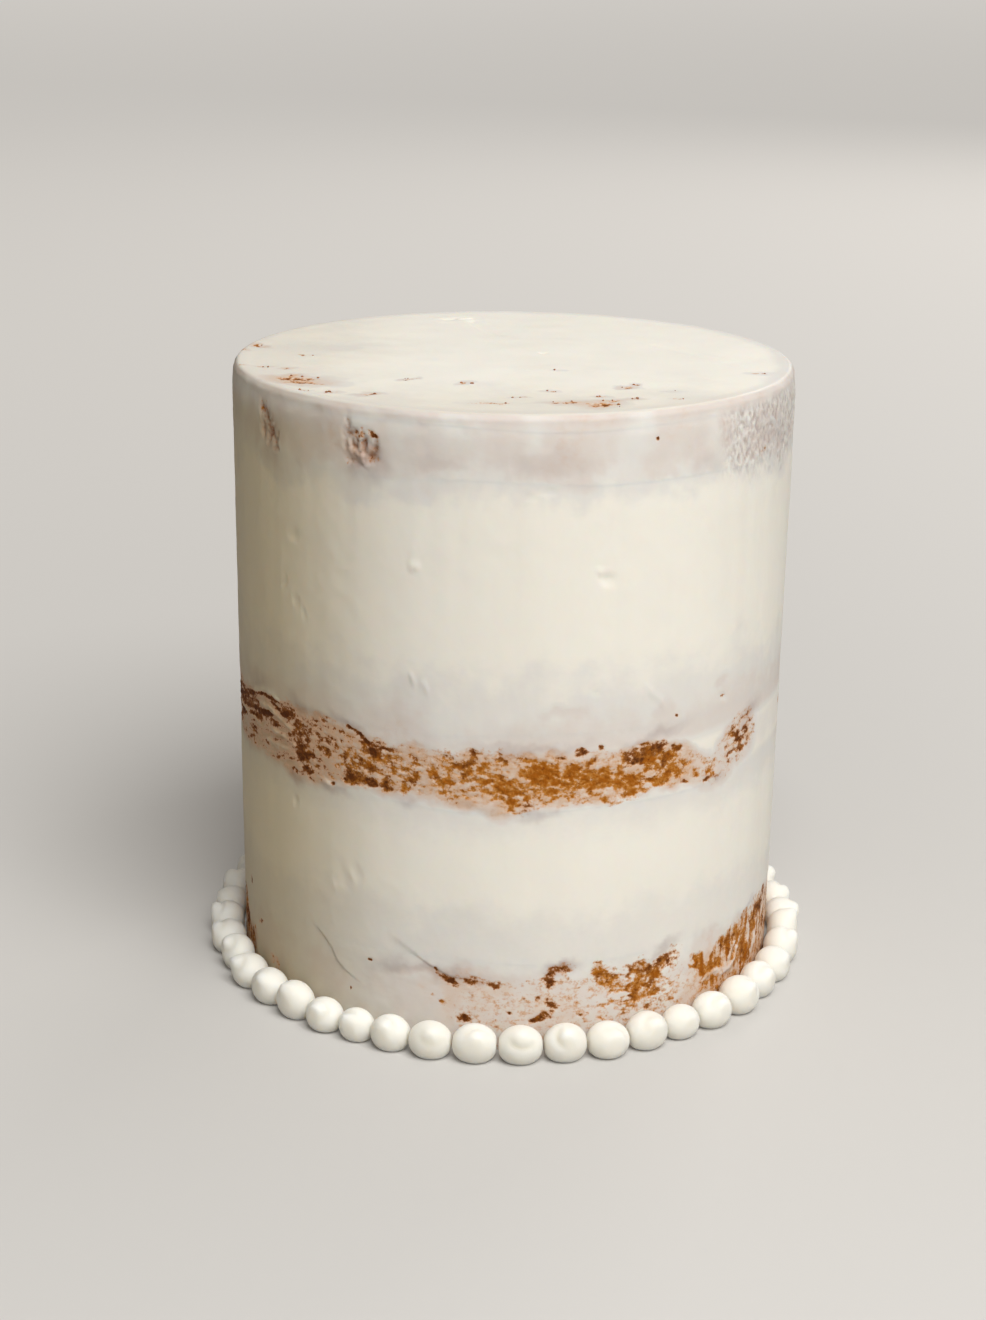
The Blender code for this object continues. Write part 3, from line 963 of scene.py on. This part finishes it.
# The top is spread flat with a palette knife, whose last stroke ends in a crease and a small
# peak near the back. Crumbs that the knife picked up streak the left and the front.
TOP_FLECKS = (
    (-71, 12, 3.2, 1.2, -60, 0.85),
    (-74, 6, 2.0, 0.8, -70, 0.70),
    (-57, -2, 2.6, 1.0, 0, 0.35),
    (-73, -17, 1.6, 0.8, 0, 0.60),
    (-67, -18, 2.0, 0.8, 20, 0.55),
    (-60, -20, 1.8, 0.8, 0, 0.60),
    (-56, -34, 6.5, 2.8, -10, 0.62),
    (-54, -39, 6.0, 2.2, -14, 0.66),
    (-58, -30, 3.0, 1.2, 30, 0.60),
    (-27, -33, 2.0, 0.7, 40, 0.85),
    (-13, -37, 2.2, 0.8, 60, 0.62),
    (-53, -49, 1.4, 0.8, 0, 0.60),
    (-46, -51, 1.8, 0.8, 10, 0.62),
    (-37, -53, 2.8, 1.0, 10, 0.75),
    (12, -19, 1.4, 0.6, 0, 0.45),
    (9, -46, 1.6, 0.7, 0, 0.60),
    (28, -41, 1.8, 1.0, -20, 0.90),
    (31, -38, 0.8, 1.2, 0, 0.70),
    (1, -54, 1.8, 0.7, 0, 0.55),
    (-6, -62, 6.0, 1.8, 0, 0.34),
    (12, -60, 4.2, 1.5, 4, 0.64),
    (21, -62, 4.6, 2.8, 20, 0.66),
    (24, -57, 2.4, 1.2, 30, 0.62),
    (22, -52, 1.6, 0.8, 0, 0.60),
    (30, -55, 1.8, 0.8, 0, 0.62),
    (39, -45, 1.8, 0.8, 0, 0.36),
    (41, -54, 2.0, 0.8, 0, 0.36),
    (65, -20, 2.4, 1.4, 0, 0.34),
)


def spot(x, y, half_length, half_height, lean):
    """1 in the middle of a leaning oval on the top, seen from above, down to 0 outside it."""
    tilt = math.radians(lean)
    dx, dy = plan_x - x + top_ragged[0], plan_y - y + top_ragged[1]
    u = (dx * math.cos(tilt) + dy * math.sin(tilt)) / half_length
    v = (dy * math.cos(tilt) - dx * math.sin(tilt)) / half_height
    return 1 - step(0.45, 1.25, np.hypot(u, v))


top_ragged = (1.2 * lumps(4, 11), 1.2 * lumps(4, 12))
top_clear = np.ones(len(place))
top_thin = np.ones(len(place))
for x, y, half_length, half_height, lean, strength in TOP_FLECKS:
    top_clear *= 1 - strength * spot(x, y, half_length, half_height, lean)
    top_thin *= 1 - 0.75 * strength * spot(x, y, 2.2 * half_length, 2.6 * half_height, lean)
top_crumb = lumps(1.3, 13)
top_cover = (1 - top_clear) * (1 + 0.5 * top_crumb) - 0.14 - 0.5 * (top_clear > 0.95)
cover = np.where(on_top, top_cover, cover)
# Towards the rim the coat is made thinner and darker: partly a scraped edge, partly painted shade that
# tones down the lit rim.
rim_thin_and_shade = 0.30 * step(RADIUS_MM - 8, RADIUS_MM - 2, reach / MM)
scant = np.maximum(step(-28, -64, plan_y + 2 * wander), step(-22, -62, plan_x + 2 * wander))
rim_thin_and_shade = np.maximum(rim_thin_and_shade, 0.17 * scant)
top_film = np.maximum(1 - top_thin, rim_thin_and_shade) + 0.08 * lumps(22, 34)
thin = np.where(on_top, np.clip(top_film, 0, 1), thin)
rust = np.where(on_top, 0.6, rust)
# On the top the same warm darkening is laid lightly over the front and left.
painted_warm_shade = np.where(on_top, 0.24 * scant, painted_warm_shade)
crust_and_shade = np.where(on_top, 0, crust_and_shade)
# Painted shade: a band along the rounded rim is darkened to tone down the light it catches.
painted_rim_shade = step(167.5, 169.5, up) * step(RADIUS_MM - 3, RADIUS_MM - 1.5, reach / MM)
crust_and_shade = np.maximum(crust_and_shade, 0.18 * painted_rim_shade)

# Strokes of the knife, each from one place to another, and how deep, in millimetres.
STROKES = ((-12, 55, -4, 34, 0.30), (-20, 58, -12, 62, 0.22), (40, 20, 62, -12, 0.10))
RIM_DROP = 0.4
top_rise = 0.22 * lumps(34, 14) - 0.55
top_rise -= 0.20 * step(0.3, 0.6, top_cover)
crease = np.zeros(len(place))
for x0, y0, x1, y1, deep in STROKES:
    dx, dy = x1 - x0, y1 - y0
    share = np.clip(((plan_x - x0) * dx + (plan_y - y0) * dy) / (dx * dx + dy * dy), 0, 1)
    away = np.hypot(plan_x - x0 - share * dx, plan_y - y0 - share * dy)
    crease -= deep * np.exp(-((away / 1.5) ** 2)) * (1 - 0.7 * share)
    crease += 0.4 * deep * np.exp(-(((away - 3) / 1.8) ** 2)) * (1 - 0.7 * share)
top_rise += crease + 0.45 * spot(-14, 60, 2.6, 1.4, 20)
top_rise -= 0.3 * spot(8, 6, 1.6, 1.0, 30)
top_rise = np.minimum(top_rise, -0.03)
toward_edge = step(RADIUS_MM - 7, RADIUS_MM - 2.3, reach / MM)
place[:, 2] += np.where(on_top, (1 - toward_edge) * top_rise * MM - RIM_DROP * toward_edge * MM, 0)
place[:, 2] -= np.where(~on_top & (up > 168.5), RIM_DROP * MM * step(168.5, 170.6, up), 0)

skin.data.vertices.foreach_set("co", place.astype(np.float32).ravel())
skin.data.update()
for name, values in zip(OWN_MARKS, (cover, thin, rust, painted_warm_shade, crust_and_shade)):
    stored = skin.data.attributes.new(name, "FLOAT", "POINT")
    stored.data.foreach_set("value", np.clip(values, -1, 1).astype(np.float32))
facing = np.zeros(len(place) * 3, np.float32)
skin.data.vertex_normals.foreach_get("vector", facing)
stored = skin.data.attributes.new("facing", "FLOAT_VECTOR", "POINT")
stored.data.foreach_set("vector", facing)


# The layers. The skin is parted at the seams, each band is closed into a disc that runs
# through the cake, and it keeps the normals of the whole skin, so that no seam shows.
bpy.ops.object.select_all(action="DESELECT")
skin.select_set(True)
bpy.context.view_layer.objects.active = skin
bpy.ops.object.mode_set(mode="EDIT")
bpy.ops.mesh.select_all(action="SELECT")
bpy.ops.mesh.separate(type="MATERIAL")
bpy.ops.object.mode_set(mode="OBJECT")
bands = [skin] + [piece for piece in bpy.context.selected_objects if piece is not skin]
bands.sort(key=lambda band: np.mean([vertex.co.z for vertex in band.data.vertices]))

for number, (band, (layer, thickness, rows, slot)) in enumerate(zip(bands, LAYERS)):
    band.name = band.data.name = f"{layer}_coated"
    bpy.ops.object.select_all(action="DESELECT")
    band.select_set(True)
    bpy.context.view_layer.objects.active = band
    band.data.materials.clear()
    band.data.materials.append(finishes[slot])
    for polygon in band.data.polygons:
        polygon.material_index = 0
    ends = [(seams[number], SEAM_ROOM if number else 0)]
    if layer != "icing_top":
        ends.append((seams[number + 1], -SEAM_ROOM))
    bpy.ops.object.mode_set(mode="EDIT")
    for level, room in ends:
        cage = bmesh.from_edit_mesh(band.data)
        bpy.ops.mesh.select_all(action="DESELECT")
        for edge in cage.edges:
            if edge.is_boundary and abs(edge.verts[0].co.z - level) < 2 * SEAM_WAVE:
                edge.select = True
        bmesh.update_edit_mesh(band.data)
        bpy.ops.mesh.extrude_edges_move()
        bpy.ops.transform.resize(value=(0.96, 0.96, 0), center_override=(0, 0, level + room))
        bpy.ops.mesh.edge_face_add()
    bpy.ops.mesh.select_all(action="SELECT")
    bpy.ops.mesh.normals_make_consistent(inside=False)
    bpy.ops.object.mode_set(mode="OBJECT")
    bpy.ops.object.shade_smooth()
    kept = np.zeros(len(band.data.vertices) * 3, np.float32)
    band.data.attributes["facing"].data.foreach_get("vector", kept)
    kept = kept.reshape(-1, 3)
    kept /= np.maximum(np.linalg.norm(kept, axis=1, keepdims=True), 1e-6)
    band.data.normals_split_custom_set_from_vertices(kept.tolist())
    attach(band, "root")
    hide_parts(layer)


# The border. Each bead is piped against the foot of the cake from the side, so it has a round
# belly, a flat foot, faces pressed on its neighbours, and a soft peak where the nozzle left.
BEAD_TONES = ((0.825, 0.798, 0.720), (0.800, 0.770, 0.688))
CREASE_FROM_PEAK = 0.52
CREASE_WIDTH = 0.18
CREASE_DEPTH = 0.15

piped, piped_tree, piped_shader = new_finish("piped_icing")
piped_shader.inputs["Roughness"].default_value = 0.56
piped_shader.inputs["Specular IOR Level"].default_value = 0.22
piped_shader.inputs["Subsurface Weight"].default_value = 1.0
piped_shader.inputs["Subsurface Radius"].default_value = (1.0, 0.92, 0.80)
piped_shader.inputs["Subsurface Scale"].default_value = 6.0 * MM
piped_place = add(piped_tree, "ShaderNodeTexCoord").outputs["Object"]
tone = speckle(piped_tree, piped_place, 120, 2)
tone = blend(piped_tree, spread(piped_tree, tone, 0.3, 0.7), *BEAD_TONES)
piped_bump = add(piped_tree, "ShaderNodeBump")
piped_bump.inputs["Strength"].default_value = 0.25
piped_bump.inputs["Distance"].default_value = 0.2 * MM
wire(
    piped_tree,
    (tone, piped_shader.inputs["Base Color"]),
    (speckle(piped_tree, piped_place, 900, 2), piped_bump.inputs["Height"]),
    (piped_bump.outputs["Normal"], piped_shader.inputs["Normal"]),
)


def soft_stop(value, limit, ease):
    """value, slowed down over the last stretch before the limit so that it never passes it."""
    start = limit - ease
    return np.where(value < start, value, limit - ease * np.exp(-(value - start) / ease))


def pipe_bead(name, draw):
    """A bead over its solid, which gives its place, its size and the way its peak leans."""
    solid = np.array([vertex.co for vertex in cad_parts[name].data.vertices])
    middle = math.atan2(solid[:, 1].mean(), solid[:, 0].mean())
    spans = (np.arctan2(solid[:, 1], solid[:, 0]) - middle + math.pi) % (2 * math.pi) - math.pi
    turn = middle + (spans.min() + spans.max()) / 2
    outward = np.array((math.cos(turn), math.sin(turn), 0))
    along = np.array((-math.sin(turn), math.cos(turn), 0))
    wall = math.tan((spans.max() - spans.min()) / 2)
    depth = np.percentile(solid @ outward, 96) - CAKE_RADIUS
    height = np.percentile(solid[:, 2], 94)
    belly = 0.44 * height
    size = np.array((depth / 2, (CAKE_RADIUS + depth / 2) * wall * 1.05, height - belly))
    ways = np.array((outward, along, (0, 0, 1)))
    heart = outward * (CAKE_RADIUS + depth / 2) + np.array((0, 0, belly))
    spokes = (solid - heart) @ ways.T / size
    long = np.linalg.norm(spokes, axis=1) * (spokes[:, 2] > 0.2) * (spokes[:, 0] > 0.3)
    peak = Vector(spokes[np.argmax(long)]).normalized()
    nib = 0.85 * min(0.36, long.max() - 1)

    bpy.ops.object.select_all(action="DESELECT")
    bpy.ops.mesh.primitive_uv_sphere_add(segments=40, ring_count=28, radius=1, location=(0, 0, 0))
    bead = bpy.context.object
    bead.name = bead.data.name = f"{name}_piped"
    ball = np.array([vertex.co for vertex in bead.data.vertices])
    ball = ball @ np.array(peak.to_track_quat("Z", "Y").to_matrix()).T
    towards = np.clip(ball @ np.array(peak), 0, 1)
    curl = np.array((draw.uniform(-0.3, 0.1), draw.uniform(-0.3, 0.3), draw.uniform(-0.3, 0.1)))
    ball *= (1 + nib * (0.5 * towards**6 + 0.5 * towards**20))[:, None]
    ball += 0.35 * curl * (towards**20)[:, None]
    unit = ball / np.linalg.norm(ball, axis=1, keepdims=True)
    beside = np.array(peak.orthogonal().normalized())
    past = np.cross(np.array(peak), beside)
    turned_to = math.cos(draw.uniform(0, 6.3)), math.sin(draw.uniform(0, 6.3))
    facing_crease = turned_to[0] * unit @ beside + turned_to[1] * unit @ past
    from_peak = np.arccos(np.clip(unit @ np.array(peak), -1, 1))
    crease = np.exp(-(((from_peak - CREASE_FROM_PEAK) / CREASE_WIDTH) ** 2))
    ball *= (1 - CREASE_DEPTH * crease * np.clip(0.15 + 1.6 * facing_crease, 0, 1))[:, None]
    out, sideways, rise = (ball * size).T
    out += depth / 2
    out = -soft_stop(-out, -0.1 * MM, 0.5 * MM)
    out = soft_stop(out, (solid @ outward).max() - CAKE_RADIUS - 0.15 * MM, 0.6 * MM)
    reach_here = (CAKE_RADIUS + out) * wall - 0.05 * MM
    sideways = np.sign(sideways) * reach_here * soft_stop(np.abs(sideways) / reach_here, 1, 0.07)
    rise = np.maximum(-soft_stop(-rise - belly, 0, 0.45 * MM), 0)
    made = outward * (CAKE_RADIUS + out)[:, None] + along * sideways[:, None]
    made[:, 2] = rise
    bead.data.vertices.foreach_set("co", made.astype(np.float32).ravel())
    bead.data.update()
    bpy.ops.object.shade_smooth()
    bead.data.materials.append(piped)
    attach(bead, "root")
    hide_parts(name)


piping = random.Random(5)
for name in sorted(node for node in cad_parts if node.startswith("bead_")):
    pipe_bead(name, piping)

# Loose crumbs. A few specks of sponge that the knife carried on to the top, joined in one
# piece, each a small uneven lump that lies where the top is streaked with crumb.
CRUMB_SIZE = (0.16, 0.36)
CRUMB_TONES = ((0.20, 0.055, 0.010), (0.42, 0.17, 0.05))

bpy.ops.object.select_all(action="DESELECT")
scatterer = random.Random(21)
lid = place[on_top]
speck = None
for x, y, half_length, half_height, lean, strength in TOP_FLECKS:
    for _ in range(2 if strength > 0.5 else 1):
        spot_x = (x + scatterer.uniform(-1, 1) * half_length) * MM
        spot_y = (y + scatterer.uniform(-1, 1) * half_height) * MM
        if math.hypot(spot_x, spot_y) > CAKE_RADIUS - 4 * MM:
            continue
        size = scatterer.uniform(*CRUMB_SIZE) * MM
        nearest = lid[np.argmin(np.hypot(lid[:, 0] - spot_x, lid[:, 1] - spot_y))]
        spot_at = (spot_x, spot_y, nearest[2] + 0.3 * size)
        if speck is None:
            bpy.ops.mesh.primitive_ico_sphere_add(subdivisions=2, radius=size, location=(0, 0, 0))
            speck = bpy.context.object
            speck.name = speck.data.name = "loose_crumbs"
            bpy.ops.object.mode_set(mode="EDIT")
            bpy.ops.mesh.select_all(action="SELECT")
            bpy.ops.transform.translate(value=spot_at)
        else:
            bpy.ops.mesh.primitive_ico_sphere_add(subdivisions=2, radius=size, location=spot_at)
        stretch = [scatterer.uniform(0.7, 1.5), scatterer.uniform(0.7, 1.5), 0.8]
        bpy.ops.transform.resize(value=stretch, center_override=spot_at)
        bpy.ops.transform.vertex_random(offset=0.22 * size, seed=scatterer.randrange(1, 999))
bpy.ops.object.mode_set(mode="OBJECT")
crumb_paint, crumb_tree, crumb_shader = new_finish("crumb")
crumb_shader.inputs["Roughness"].default_value = 0.7
crumb_place = add(crumb_tree, "ShaderNodeTexCoord").outputs["Object"]
crumb_mix = spread(crumb_tree, speckle(crumb_tree, crumb_place, 900, 3), 0.35, 0.65)
crumb_mix = blend(crumb_tree, crumb_mix, *CRUMB_TONES)
wire(crumb_tree, (crumb_mix, crumb_shader.inputs["Base Color"]))
speck.data.materials.append(crumb_paint)
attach(speck, "root")

low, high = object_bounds()
{"cad": [list(cad_low), list(cad_high)], "visual": [list(low), list(high)]}
